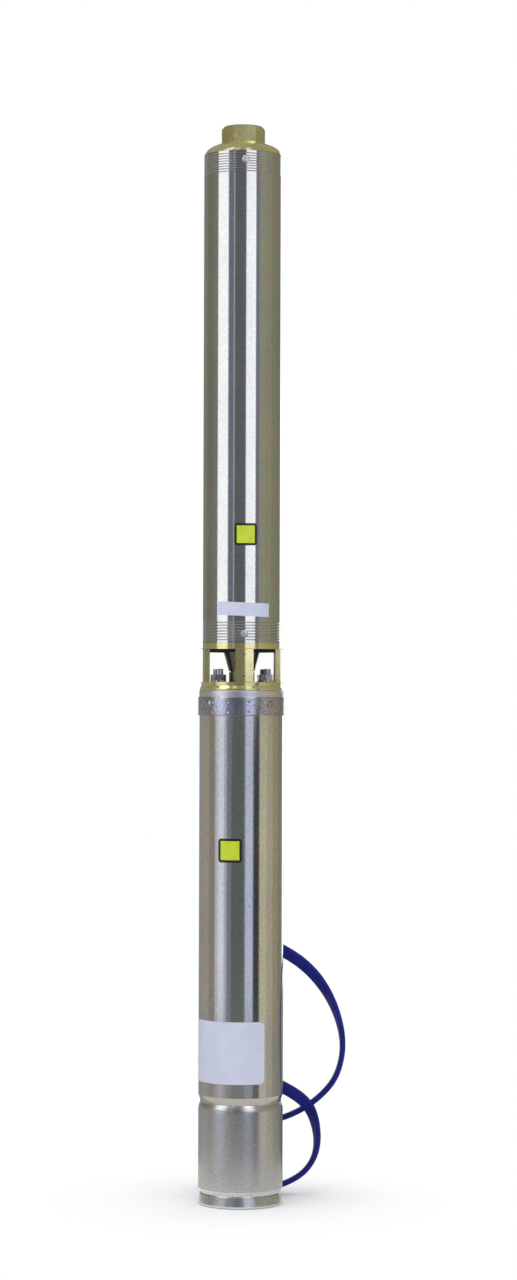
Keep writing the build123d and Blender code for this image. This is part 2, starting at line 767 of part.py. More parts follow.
# Diaphragm: a rubber bell that lets the motor's filling expand
rim_z0 = housing_bottom - diaphragm_wall - fit
bell_top = rim_z0 + diaphragm_h
with BuildPart() as diaphragm:
    turn(
        (0, bell_top - diaphragm_wall),
        (diaphragm_r - 4, bell_top - diaphragm_wall),
        (diaphragm_r, rim_z0),
        (housing_r, rim_z0),
        (housing_r, rim_z0 + diaphragm_wall),
        (diaphragm_r + 2, rim_z0 + diaphragm_wall),
        (diaphragm_r - 2, bell_top),
        (0, bell_top),
    )
save(diaphragm, "diaphragm")

# Bottom cap: a cup on the shell's curled foot, under the diaphragm's rim
cap_r = groove_in_r - fit
with BuildPart() as bottom_cap:
    turn(
        (0, motor_wall + seat_gap),
        (cap_r, motor_wall + seat_gap),
        (cap_r, rim_z0 - seat_gap),
        (cap_r - cap_wall, rim_z0 - seat_gap),
        (cap_r - cap_wall, motor_wall + cap_wall),
        (0, motor_wall + cap_wall),
    )
save(bottom_cap, "bottom_cap")

# Cable gland on the flange's rim
gland_z0 = flange_z0 + 2.7
gland_r = flange_r + gland_reach
with BuildPart() as cable_gland:
    gland_heading = polar(1, gland_azimuth) + (0,)
    gland_plane = Plane(origin=(0, 0, gland_z0), x_dir=gland_heading, z_dir=(0, 0, 1))
    with BuildSketch(gland_plane):
        with Locations((gland_r - 10, 0)):
            Rectangle(20, gland_w)
        corners = vertices().group_by(Axis((0, 0, 0), gland_heading))[-1]
        fillet(corners, radius=gland_round)
        Circle(flange_r + seat_gap, mode=Mode.SUBTRACT)
    extrude(amount=gland_h)
    fillet(edges().group_by(Axis.Z)[-1], radius=1.2)
    radial_pin(gland_azimuth, flange_z0 + flange_h / 2, gland_stub_r, flange_r - gland_stub_len, flange_r + 1)
save(cable_gland, "cable_gland")

# Motor lead: the route runs down behind the motor, out in two loops at its side and back along the floor
exit_x, exit_y = polar(lead_start_r, gland_azimuth)
lead_route = [
    (exit_x, exit_y, gland_z0),
    (exit_x, exit_y, 550),
    (34, 48, 516),
    (22, 57, 474),
    (5, 62, 428),
    (-6, 61, 380),
    (0, 59.5, 333),
    (29.6, 58.1, 292.8),
    (78.3, 56.7, 266.8),
    (109.4, 56.5, 227.0),
    (124.7, 57.4, 177.4),
    (117.7, 60.9, 135.8),
    (96.3, 64.4, 109.8),
    (67.5, 67.5, 90.9),
    (35.6, 70.2, 81.0),
    (-2.0, 71.3, 69.7),
    (-25.6, 72.0, 78.9),
    (-38.8, 70.9, 100.9),
    (-35.7, 68.7, 126.2),
    (-18.1, 65.4, 144.3),
    (6.8, 61.7, 147.7),
    (35.7, 57.6, 132.0),
    (73.9, 53.0, 112.7),
    (89.0, 51.4, 91.9),
    (94.1, 51.1, 54.9),
    (81.3, 52.5, 27.1),
    (54, 57, 11.5),
    (25, 62, 5.2),
    (-4, 70, 4.4),
    (-26, 87, 4.3),
    (-32, 114, 4.2),
    (-22, 140, 4.15),
    (0, 158, 4.1),
]


def bend_radii(route):
    """0.45 of the shorter run over the tangent of half the turn, at each corner."""
    corners = [Vector(*point) for point in route]
    radii = []
    for before, corner, after in zip(corners, corners[1:], corners[2:]):
        shorter = min((corner - before).length, (after - corner).length)
        half_turn = math.radians((corner - before).get_angle(after - corner)) / 2
        radii.append(0.45 * shorter / math.tan(half_turn))
    return radii


lead_radii = bend_radii(lead_route)
print("lead bend radii:", [round(radius) for radius in lead_radii])
with BuildPart() as motor_lead:
    with BuildLine() as lead_path:
        FilletPolyline(*lead_route, radius=lead_radii)
    with BuildSketch(Plane(origin=lead_route[0], z_dir=(0, 0, -1))) as lead_section:
        Circle(lead_d / 2)
    sweep(lead_section.sketch, path=lead_path.line)
lead_area = math.pi * lead_d**2 / 4
lead_length = sum(edge.length for edge in lead_path.edges())
print("lead length:", round(lead_length))
print("volume over section times length:", round(motor_lead.part.volume / (lead_area * lead_length), 4))
save(motor_lead, "motor_lead")

# Bare cores at the lead's end, side by side
lead_end = Vector(*lead_route[-1])
lead_heading = (lead_end - Vector(*lead_route[-2])).normalized()
with BuildPart() as lead_cores:
    end_plane = Plane(origin=lead_end, x_dir=lead_heading.cross(Vector(0, 0, 1)), z_dir=lead_heading)
    with BuildSketch(end_plane):
        with GridLocations(core_pitch, 0, core_count, 1):
            Circle(core_d / 2)
    extrude(amount=core_len)
save(lead_cores, "lead_cores")
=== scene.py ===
import bpy
import bmesh
import json
import math
from mathutils import Matrix, Vector


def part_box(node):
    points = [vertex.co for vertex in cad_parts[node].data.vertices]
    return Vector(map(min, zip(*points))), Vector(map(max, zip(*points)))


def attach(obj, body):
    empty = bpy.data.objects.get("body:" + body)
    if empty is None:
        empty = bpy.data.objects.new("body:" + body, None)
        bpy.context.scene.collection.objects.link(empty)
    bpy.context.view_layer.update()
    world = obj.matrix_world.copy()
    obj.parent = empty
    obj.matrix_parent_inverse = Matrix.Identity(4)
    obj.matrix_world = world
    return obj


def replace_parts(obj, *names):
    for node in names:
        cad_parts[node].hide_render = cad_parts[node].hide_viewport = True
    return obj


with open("model.json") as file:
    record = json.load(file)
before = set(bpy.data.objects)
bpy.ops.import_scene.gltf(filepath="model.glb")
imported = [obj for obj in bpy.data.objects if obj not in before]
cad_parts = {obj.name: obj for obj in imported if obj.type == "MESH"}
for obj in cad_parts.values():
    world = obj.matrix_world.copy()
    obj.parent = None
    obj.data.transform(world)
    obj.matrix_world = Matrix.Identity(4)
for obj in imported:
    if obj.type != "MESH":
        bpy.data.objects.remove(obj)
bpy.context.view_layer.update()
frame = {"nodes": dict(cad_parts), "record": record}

mm = 0.001
parts = frame["nodes"]
slotOf = {part["node"]: part["material_slot"] for part in frame["record"]["subparts"]}
print("loaded", len(parts), "CAD nodes")


def toLinear(red, green, blue):  # screen colour 0-255 to the linear colour that the nodes use
    steps = [value / 255 for value in (red, green, blue)]
    return tuple(v / 12.92 if v <= 0.04045 else ((v + 0.055) / 1.055) ** 2.4 for v in steps) + (1.0,)


def around(radius, degrees, height):  # a point at an azimuth on the pump's axis, in metres
    turn = math.radians(degrees)
    return Vector((radius * math.cos(turn), radius * math.sin(turn), height))


def addObject(name, mesh):
    made = bpy.data.objects.new(name, mesh)
    bpy.context.scene.collection.objects.link(made)
    return made


def meshFrom(name, vertices, faces, smooth=True):
    mesh = bpy.data.meshes.new(name)
    mesh.from_pydata([tuple(v) for v in vertices], [], faces)
    mesh.validate()
    mesh.polygons.foreach_set("use_smooth", [smooth] * len(mesh.polygons))
    mesh.update()
    return mesh


def outwards(mesh, angle):  # normals recalculated, sharp edges kept sharp
    shape = bmesh.new()
    shape.from_mesh(mesh)
    bmesh.ops.remove_doubles(shape, verts=shape.verts, dist=1e-7)
    bmesh.ops.recalc_face_normals(shape, faces=shape.faces)
    shape.to_mesh(mesh)
    shape.free()
    mesh.set_sharp_from_angle(angle=math.radians(angle))
    return mesh


# The camera stands where the photographer stood
camera = {
    "distance": 3.530, "height": 0.588, "azimuth": -4.0, "yawRight": 0.307, "pitchUp": 0.83, "roll": 0.17,
    "lens": 87.2, "sensor": 36.0, "near": 0.05, "far": 60.0,
}
forward = Vector((math.sin(math.radians(-camera["azimuth"])), math.cos(math.radians(camera["azimuth"])), 0))
cameraData = bpy.data.cameras.new("photoCamera")
cameraData.lens, cameraData.sensor_width = camera["lens"], camera["sensor"]
cameraData.clip_start, cameraData.clip_end = camera["near"], camera["far"]
photoCamera = addObject("photoCamera", cameraData)
photoCamera.matrix_world = (
    Matrix.Translation(-forward * camera["distance"] + Vector((0, 0, camera["height"])))
    @ Matrix.Rotation(math.radians(camera["azimuth"] - camera["yawRight"]), 4, "Z")
    @ Matrix.Rotation(math.radians(90 + camera["pitchUp"]), 4, "X")
    @ Matrix.Rotation(math.radians(camera["roll"]), 4, "Z")
)
bpy.context.scene.camera = photoCamera
bpy.context.scene.view_settings.view_transform = "Standard"
print("camera set")

# A flat three-core cable: down behind the motor, out in two loops at its side, and back along the floor.
# Width, thickness, corner and route are in millimetres, the length is in metres.
lead = {
    "width": 14.0, "thickness": 5.5, "corner": 2.3, "length": 1.1, "perSpan": 9,
    "twistReach": 9, "twistPasses": 2, "cornerSteps": 6, "sharp": 60,
    "route": [
        (37.65, 38.99, 577), (37.65, 38.99, 550), (34, 48, 516), (22, 57, 474),
        (5, 62, 428), (-6, 61, 380), (0, 59.5, 333), (29.6, 58.1, 292.8),
        (78.3, 56.7, 266.8), (109.4, 56.5, 227.0), (124.7, 57.4, 177.4), (117.7, 60.9, 135.8),
        (96.3, 64.4, 109.8), (67.5, 67.5, 90.9), (35.6, 70.2, 81.0), (-2.0, 71.3, 69.7),
        (-25.6, 72.0, 78.9), (-38.8, 70.9, 100.9), (-35.7, 68.7, 126.2), (-18.1, 65.4, 144.3),
        (6.8, 61.7, 147.7), (35.7, 57.6, 132.0), (73.9, 53.0, 112.7), (89.0, 51.4, 91.9),
        (94.1, 51.1, 54.9), (81.3, 52.5, 27.1), (54, 57, 10.6), (25, 62, 4.0),
        (-4, 70, 3.1), (-26, 87, 3.0), (-32, 114, 3.0), (-22, 140, 3.0),
        (0, 158, 3.0),
    ],
    # how the flat side lies from each point of the route on
    "lie": [(0, "round"), (6.6, "face"), (8.7, "edge"), (19.2, "face"), (22.9, "edge"), (25.4, "flat")],
}


def leadLine():  # the route as one smooth NURBS line, read back as points
    curve = bpy.data.curves.new("leadLine", "CURVE")
    curve.dimensions = "3D"
    spline = curve.splines.new("NURBS")
    spline.points.add(len(lead["route"]) - 1)
    for point, place in zip(spline.points, lead["route"]):
        point.co = (place[0] * mm, place[1] * mm, place[2] * mm, 1)
    spline.order_u = 3
    spline.use_endpoint_u = True
    spline.resolution_u = lead["perSpan"]
    helper = addObject("leadLineHelper", curve)
    bpy.context.view_layer.update()
    line = bpy.data.meshes.new_from_object(helper.evaluated_get(bpy.context.evaluated_depsgraph_get()))
    points = [v.co.copy() for v in line.vertices]
    bpy.data.objects.remove(helper)
    bpy.data.meshes.remove(line)
    return points


def flatSide(kind, point, heading):  # the direction of the cable's width
    across = {
        "round": Vector((point.x, point.y, 0)).normalized().cross(heading),
        "face": heading.cross(Vector((0, 1, 0))),
        "edge": Vector((0, 1, 0)),
        "flat": Vector((0, 0, 1)).cross(heading),
    }[kind]
    return (across - heading * across.dot(heading)).normalized()


def leadSheath(points):
    count = len(points)
    headings = [(points[min(i + 1, count - 1)] - points[max(i - 1, 0)]).normalized() for i in range(count)]
    sideways = [flatSide("round", points[0], headings[0])]
    for before, after in zip(headings, headings[1:]):  # a frame carried along without twist
        carried = before.rotation_difference(after) @ sideways[-1]
        sideways.append((carried - after * carried.dot(after)).normalized())
    spans = len(lead["route"]) - 2
    angles = []
    for i, point in enumerate(points):
        place = i / (count - 1) * spans + 0.5
        kind = [name for start, name in lead["lie"] if start <= place or start == 0][-1]
        wanted = flatSide(kind, point, headings[i])
        angle = math.atan2(wanted.dot(headings[i].cross(sideways[i])), wanted.dot(sideways[i]))
        previous = angles[-1] if angles else 0
        # a flat cable looks the same after half a turn
        angles.append(angle - math.pi * round((angle - previous) / math.pi))
    reach = lead["twistReach"]
    for _ in range(lead["twistPasses"]):
        padded = [angles[0]] * reach + angles + [angles[-1]] * reach
        angles = [sum(padded[i:i + 2 * reach + 1]) / (2 * reach + 1) for i in range(count)]
    section = []
    rounding, steps = lead["corner"], lead["cornerSteps"]
    flatX, flatY = lead["width"] / 2 - rounding, lead["thickness"] / 2 - rounding
    for quarter, (signX, signY) in enumerate(((1, 1), (-1, 1), (-1, -1), (1, -1))):
        for step in range(steps):
            turn = math.radians(90 * quarter + 90 * step / (steps - 1))
            x, y = rounding * math.cos(turn), rounding * math.sin(turn)
            section.append((signX * flatX + x, signY * flatY + y))
    vertices, faces, size = [], [], len(section)
    for point, heading, side, angle in zip(points, headings, sideways, angles):
        width = side * math.cos(angle) + heading.cross(side) * math.sin(angle)
        depth = heading.cross(width)
        vertices += [point + width * (x * mm) + depth * (y * mm) for x, y in section]
    for i in range(count - 1):
        for j in range(size):
            a, b = i * size + j, i * size + (j + 1) % size
            faces.append((a, b, b + size, a + size))
    faces.append(tuple(range(size))[::-1])
    faces.append(tuple((count - 1) * size + j for j in range(size)))
    return outwards(meshFrom("motorLead", vertices, faces), lead["sharp"])


leadPoints = leadLine()
motorLead = addObject("motorLead", leadSheath(leadPoints))
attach(motorLead, "root")
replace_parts(motorLead, "motor_lead")
print("lead laid,", round(sum((b - a).length for a, b in zip(leadPoints, leadPoints[1:])), 3), "m")

# The studio: softboxes and matt cards, named by their angle to the right of the camera
studio = {
    "worldDiffuse": 0.80,
    "floorReach": 14.0, "floorDrop": 0.0002, "floorFadeStart": 0.07, "floorFadeEnd": 0.26, "floorWhite": 0.93,
    "cardRadius": 6.0, "cardMiddle": 0.60, "cardHigh": 4.5, "cardStep": 6, "stripDrop": 0.01, "ringSides": 48,
    "groundInner": 0.32, "groundMiddle": 1.8, "groundHeight": 0.002, "overheadAim": 0.9,
    "ceilingStrips": {
        "leftStrip": (-76.0, -44.0, (250, 250, 246)),
        "middleStrip": (-30.0, -20.0, (236, 238, 232)),
        "rightStrip": (14.0, 34.0, (250, 250, 246)),
    },
    "ceilingInner": 1.2, "ceilingColour": (146, 145, 136), "lampColour": (0.92, 0.94, 1.0),
    # softboxes: angle, distance, width, height, centre height, watts
    "lamps": {
        "leftSoftbox": (-60.0, 2.2, 1.36, 2.4, 1.80, 11.2),
        "rightSoftbox": (24.3, 2.4, 1.24, 2.4, 1.80, 10.4),
        "backSoftbox": (158.0, 2.6, 0.8, 2.4, 0.9, 10.0),
        "overheadSoftbox": (-10.0, 0.9, 1.2, 1.2, 3.6, 24.0),
    },
    # matt cards seen in reflections only: from angle, to angle, colours of the wall above, below and ground
    "cards": [
        (-180.0, -128.0, (132, 132, 122), (150, 150, 150), (150, 150, 156)),
        (-128.0, -98.0, (122, 121, 105), (162, 156, 142), (160, 158, 152)),
        (-98.0, -76.0, (128, 128, 118), (142, 136, 128), (148, 146, 142)),
        (-76.0, -66.0, (128, 128, 118), (196, 198, 204), (160, 160, 166)),
        (-66.0, -48.0, (128, 128, 118), (226, 229, 245), (168, 169, 178)),
        (-48.0, -40.0, (128, 128, 118), (178, 184, 198), (156, 158, 166)),
        (-40.0, -26.5, (112, 120, 134), (124, 128, 138), (140, 143, 146)),
        (-26.5, -23.5, (176, 188, 190), (84, 88, 88), (134, 136, 136)),
        (-23.5, 10.0, (100, 104, 106), (96, 102, 102), (128, 131, 130)),
        (10.0, 32.0, (100, 104, 106), (192, 202, 228), (140, 145, 156)),
        (32.0, 50.0, (122, 124, 134), (56, 56, 62), (104, 104, 108)),
        (50.0, 72.0, (150, 150, 134), (194, 189, 167), (186, 183, 170)),
        (72.0, 95.0, (148, 146, 122), (176, 170, 148), (168, 164, 150)),
        (95.0, 118.0, (138, 136, 110), (156, 150, 124), (144, 142, 134)),
        (118.0, 180.0, (130, 129, 112), (134, 132, 120), (132, 130, 126)),
    ],
    "nearGround": (0.10, (196, 194, 188)),  # inner radius and colour of the ring round the foot
}


def studioDirection(angle):  # a level direction, measured to the right of the camera
    toCamera = -forward
    toRight = Vector((forward.y, -forward.x, 0))
    return toCamera * math.cos(math.radians(angle)) + toRight * math.sin(math.radians(angle))


def shownToEye(tree):  # 1 for camera, glossy and transmission rays
    rays = tree.nodes.new("ShaderNodeLightPath")
    first = tree.nodes.new("ShaderNodeMath")
    first.operation = "ADD"
    second = tree.nodes.new("ShaderNodeMath")
    second.operation = "ADD"
    second.use_clamp = True
    tree.links.new(rays.outputs["Is Camera Ray"], first.inputs[0])
    tree.links.new(rays.outputs["Is Glossy Ray"], first.inputs[1])
    tree.links.new(first.outputs[0], second.inputs[0])
    tree.links.new(rays.outputs["Is Transmission Ray"], second.inputs[1])
    return second.outputs[0]


def makeWorld():
    world = bpy.data.worlds.new("paleWorld")
    bpy.context.scene.world = world
    world.use_nodes = True
    tree = world.node_tree
    tree.nodes.clear()
    backdrop = tree.nodes.new("ShaderNodeBackground")
    backdrop.inputs["Color"].default_value = (1, 1, 1, 1)
    fill = tree.nodes.new("ShaderNodeBackground")
    fill.inputs["Color"].default_value = (1, 1, 1, 1)
    fill.inputs["Strength"].default_value = studio["worldDiffuse"]
    mix = tree.nodes.new("ShaderNodeMixShader")
    out = tree.nodes.new("ShaderNodeOutputWorld")
    tree.links.new(shownToEye(tree), mix.inputs[0])
    tree.links.new(fill.outputs[0], mix.inputs[1])
    tree.links.new(backdrop.outputs[0], mix.inputs[2])
    tree.links.new(mix.outputs[0], out.inputs[0])


def makeFloor():
    reach = studio["floorReach"]
    corners = [(x * reach, y * reach, -studio["floorDrop"]) for x, y in ((-1, -1), (1, -1), (1, 1), (-1, 1))]
    floor = addObject("floor", meshFrom("floor", corners, [(0, 1, 2, 3)], False))
    paper = bpy.data.materials.new("floorPaper")
    paper.use_nodes = True
    tree = paper.node_tree
    tree.nodes.clear()
    place = tree.nodes.new("ShaderNodeTexCoord")
    length = tree.nodes.new("ShaderNodeVectorMath")
    length.operation = "LENGTH"
    fade = tree.nodes.new("ShaderNodeMapRange")
    fade.interpolation_type = "SMOOTHSTEP"
    fade.inputs["From Min"].default_value = studio["floorFadeStart"]
    fade.inputs["From Max"].default_value = studio["floorFadeEnd"]
    both = tree.nodes.new("ShaderNodeMath")
    both.operation = "MULTIPLY"
    matt = tree.nodes.new("ShaderNodeBsdfDiffuse")
    matt.inputs["Color"].default_value = (studio["floorWhite"],) * 3 + (1,)
    glow = tree.nodes.new("ShaderNodeEmission")
    mix = tree.nodes.new("ShaderNodeMixShader")
    out = tree.nodes.new("ShaderNodeOutputMaterial")
    tree.links.new(place.outputs["Object"], length.inputs[0])
    tree.links.new(length.outputs["Value"], fade.inputs["Value"])
    tree.links.new(fade.outputs[0], both.inputs[0])
    tree.links.new(shownToEye(tree), both.inputs[1])
    tree.links.new(both.outputs[0], mix.inputs[0])
    tree.links.new(matt.outputs[0], mix.inputs[1])
    tree.links.new(glow.outputs[0], mix.inputs[2])
    tree.links.new(mix.outputs[0], out.inputs[0])
    floor.data.materials.append(paper)


def makeCards(name, start, end, above, below, under):  # one sector of wall, in two heights, and of ground
    steps = max(2, int((end - start) / studio["cardStep"]) + 1)
    headings = [studioDirection(start + (end - start) * i / steps) for i in range(steps + 1)]
    reach, ground = studio["cardRadius"], studio["groundHeight"]
    bands = {
        "Upper": ((reach, studio["cardMiddle"]), (reach, studio["cardHigh"]), above),
        "Lower": ((reach, ground), (reach, studio["cardMiddle"]), below),
        "FarGround": ((studio["groundMiddle"], ground), (reach, ground), below),
        "Ground": ((studio["groundInner"], ground), (studio["groundMiddle"], ground), under),
    }
    for band, (first, second, colour) in bands.items():
        vertices = []
        for heading in headings:
            vertices += [heading * radius + Vector((0, 0, height)) for radius, height in (first, second)]
        faces = [(2 * i, 2 * i + 2, 2 * i + 3, 2 * i + 1) for i in range(steps)]
        placeCard(name + band, meshFrom(name + band, vertices, faces, False), colour)


def placeCard(name, mesh, colour):
    card = addObject(name, mesh)
    paint = bpy.data.materials.new(name + "Paint")
    paint.use_nodes = True
    paint.node_tree.nodes.clear()
    glow = paint.node_tree.nodes.new("ShaderNodeEmission")
    glow.inputs["Color"].default_value = toLinear(*colour)
    out = paint.node_tree.nodes.new("ShaderNodeOutputMaterial")
    paint.node_tree.links.new(glow.outputs[0], out.inputs[0])
    card.data.materials.append(paint)
    card.visible_camera = card.visible_diffuse = card.visible_shadow = False


def makeNearGround():
    sides, (inner, colour) = studio["ringSides"], studio["nearGround"]
    vertices = []
    for i in range(sides):
        for radius in (inner, studio["groundInner"]):
            vertices.append(around(radius, 360 * i / sides, studio["groundHeight"]))
    faces = [(2 * i, 2 * i + 1, (2 * i + 3) % (2 * sides), (2 * i + 2) % (2 * sides)) for i in range(sides)]
    placeCard("nearGround", meshFrom("nearGround", vertices, faces, False), colour)


def makeCeiling():
    height = Vector((0, 0, studio["cardHigh"] - studio["stripDrop"]))
    for name, (start, end, colour) in studio["ceilingStrips"].items():  # the softboxes carry on overhead
        vertices = []
        for angle in (start, end):
            for radius in (studio["ceilingInner"], studio["cardRadius"]):
                vertices.append(studioDirection(angle) * radius + height)
        placeCard(name, meshFrom(name, vertices, [(0, 2, 3, 1)], False), colour)
    sides = studio["ringSides"]
    rim = [around(studio["cardRadius"], 360 * i / sides, studio["cardHigh"]) for i in range(sides)]
    ceiling = meshFrom("ceilingCard", rim, [tuple(range(sides))], False)
    placeCard("ceilingCard", ceiling, studio["ceilingColour"])


def makeLamp(name, angle, distance, width, height, centre, watts):
    light = bpy.data.lights.new(name, "AREA")
    light.shape = "RECTANGLE"
    light.size, light.size_y, light.energy = width, height, watts
    light.color = studio["lampColour"]
    lamp = addObject(name, light)
    place = studioDirection(angle) * distance + Vector((0, 0, centre))
    aim = Vector((0, 0, studio["overheadAim"])) - place
    upright = name != "overheadSoftbox"
    if upright:  # the boxes round the pump face it squarely
        aim.z = 0
    lamp.matrix_world = Matrix.Translation(place) @ aim.to_track_quat("-Z", "Y").to_matrix().to_4x4()
    lamp.visible_camera = False
    lamp.visible_glossy = upright  # the metal sees the ceiling card instead of the overhead box


makeWorld()
makeFloor()
makeCeiling()
makeNearGround()
for i, card in enumerate(studio["cards"]):
    makeCards("card" + str(i + 1), *card)
for name, lamp in studio["lamps"].items():
    makeLamp(name, *lamp)
print("studio lit")


# Detail and roughness of each noise, where specks start and end in it, and how far one finish fades into
# another (on the brass, the painted shade into the bright metal), in metres
noiseValues = {
    "fine": (4.0, 0.55), "broad": (2.0, 0.55), "wear": (3.0, 0.55), "speck": (5.0, 0.7), "fleck": (2.0, 0.6),
    "usual": (0.3, 0.7), "speckRange": (0.58, 0.72), "fleckGain": 2.4, "fleckShift": -0.7, "fade": 0.0015,
}


def even(scale):
    return (scale, scale, scale)


def startMaterial(name):
    made = bpy.data.materials.new(name)
    made.use_nodes = True
    tree = made.node_tree
    tree.nodes.clear()
    shader = tree.nodes.new("ShaderNodeBsdfPrincipled")
    out = tree.nodes.new("ShaderNodeOutputMaterial")
    tree.links.new(shader.outputs[0], out.inputs[0])
    return made, tree, shader


def noiseOn(tree, scale, kind):  # noise on object coordinates, stretched by its three scales
    detail, rough = noiseValues[kind]
    place = tree.nodes.new("ShaderNodeTexCoord")
    stretch = tree.nodes.new("ShaderNodeMapping")
    stretch.inputs["Scale"].default_value = scale
    noise = tree.nodes.new("ShaderNodeTexNoise")
    noise.inputs["Scale"].default_value = 1.0
    noise.inputs["Detail"].default_value = detail
    noise.inputs["Roughness"].default_value = rough
    tree.links.new(place.outputs["Object"], stretch.inputs["Vector"])
    tree.links.new(stretch.outputs["Vector"], noise.inputs["Vector"])
    return noise


def grain(tree, scale, kind):
    return noiseOn(tree, scale, kind).outputs["Fac"]


def between(tree, value, low, high, span=noiseValues["usual"]):  # a value in the span spread from low to high
    spread = tree.nodes.new("ShaderNodeMapRange")
    spread.inputs["From Min"].default_value, spread.inputs["From Max"].default_value = span
    spread.inputs["To Min"].default_value = low
    spread.inputs["To Max"].default_value = high
    tree.links.new(value, spread.inputs["Value"])
    return spread.outputs[0]


def blendColours(tree, factor, first, second):
    mix = tree.nodes.new("ShaderNodeMix")
    mix.data_type = "RGBA"
    for socket, colour in ((mix.inputs[6], first), (mix.inputs[7], second)):
        if isinstance(colour, tuple):
            socket.default_value = colour
        else:
            tree.links.new(colour, socket)
    tree.links.new(factor, mix.inputs[0])
    return mix.outputs[2]


def addBump(tree, shader, height, strength, distance):
    bump = tree.nodes.new("ShaderNodeBump")
    bump.inputs["Strength"].default_value = strength
    bump.inputs["Distance"].default_value = distance
    tree.links.new(height, bump.inputs["Height"])
    tree.links.new(bump.outputs["Normal"], shader.inputs["Normal"])


def addFlecks(tree, colour, scale, amount):  # small changes of hue, as on plated or blasted metal
    noise = noiseOn(tree, scale, "fleck")
    spread = tree.nodes.new("ShaderNodeVectorMath")
    spread.operation = "MULTIPLY_ADD"
    spread.inputs[1].default_value = even(noiseValues["fleckGain"])  # contrast about the same middle grey
    spread.inputs[2].default_value = even(noiseValues["fleckShift"])
    mix = tree.nodes.new("ShaderNodeMix")
    mix.data_type, mix.blend_type, mix.clamp_result = "RGBA", "OVERLAY", True
    mix.inputs[0].default_value = amount
    tree.links.new(noise.outputs["Color"], spread.inputs[0])
    tree.links.new(colour, mix.inputs[6])
    tree.links.new(spread.outputs[0], mix.inputs[7])
    return mix.outputs[2]


def objectPlace(tree):  # distance from the pump's axis, and height
    place = tree.nodes.new("ShaderNodeTexCoord")
    level = tree.nodes.new("ShaderNodeVectorMath")
    level.operation = "MULTIPLY"
    level.inputs[1].default_value = (1, 1, 0)
    away = tree.nodes.new("ShaderNodeVectorMath")
    away.operation = "LENGTH"
    split = tree.nodes.new("ShaderNodeSeparateXYZ")
    tree.links.new(place.outputs["Object"], level.inputs[0])
    tree.links.new(level.outputs[0], away.inputs[0])
    tree.links.new(place.outputs["Object"], split.inputs[0])
    return away.outputs["Value"], split.outputs["Z"]


def belowLine(tree, value, line):  # 1 below the line, 0 above it
    return between(tree, value, 1.0, 0.0, (line - noiseValues["fade"], line + noiseValues["fade"]))


def patch(tree, look):  # where a second finish starts, also the brass hub's painted shade: below a height, and within a distance of the axis
    away, height = objectPlace(tree)
    mask = belowLine(tree, height, look["below"])
    if "within" not in look:
        return mask
    both = tree.nodes.new("ShaderNodeMath")
    both.operation = "MULTIPLY"
    tree.links.new(mask, both.inputs[0])
    tree.links.new(belowLine(tree, away, look["within"]), both.inputs[1])
    return both.outputs[0]


def colouring(tree, look, flecks):
    broad = between(tree, grain(tree, look["broad"], "broad"), 0.0, 1.0)
    tint = blendColours(tree, broad, toLinear(*look["colour"]), toLinear(*look["second"]))
    if "speck" in look:  # darker grime or pits in the low spots
        speckle = grain(tree, look["speckScale"], "speck")
        spots = between(tree, speckle, 0.0, look["speckMost"], noiseValues["speckRange"])
        tint = blendColours(tree, spots, tint, toLinear(*look["speck"]))
    return addFlecks(tree, tint, *flecks) if flecks else tint


plainSockets = {"coat": "Coat Weight", "coatRoughness": "Coat Roughness", "coatIor": "Coat IOR", "ior": "IOR"}


def makeFinish(name, look):
    made, tree, shader = startMaterial(name)
    shader.inputs["Metallic"].default_value = look["metallic"]
    for key, socket in plainSockets.items():
        if key in look:
            shader.inputs[socket].default_value = look[key]
    fine = grain(tree, look["fine"], "fine")
    tint = colouring(tree, look, look.get("flecks"))
    rough = between(tree, fine, *look["roughness"])
    if "secondFinishAndShade" in look:  # a second finish on part of the same piece; on the brass, painted shade on the hub under the ring
        secondFinishAndShade = look["secondFinishAndShade"]
        mask = patch(tree, secondFinishAndShade)
        tint = blendColours(tree, mask, tint, colouring(tree, secondFinishAndShade, look.get("flecks")))
        mix = tree.nodes.new("ShaderNodeMix")
        tree.links.new(mask, mix.inputs[0])
        tree.links.new(rough, mix.inputs[2])
        tree.links.new(between(tree, fine, *secondFinishAndShade["roughness"]), mix.inputs[3])
        rough = mix.outputs[0]
    tree.links.new(tint, shader.inputs["Base Color"])
    tree.links.new(rough, shader.inputs["Roughness"])
    addBump(tree, shader, fine, look["bump"], look["bumpDepth"])
    return made
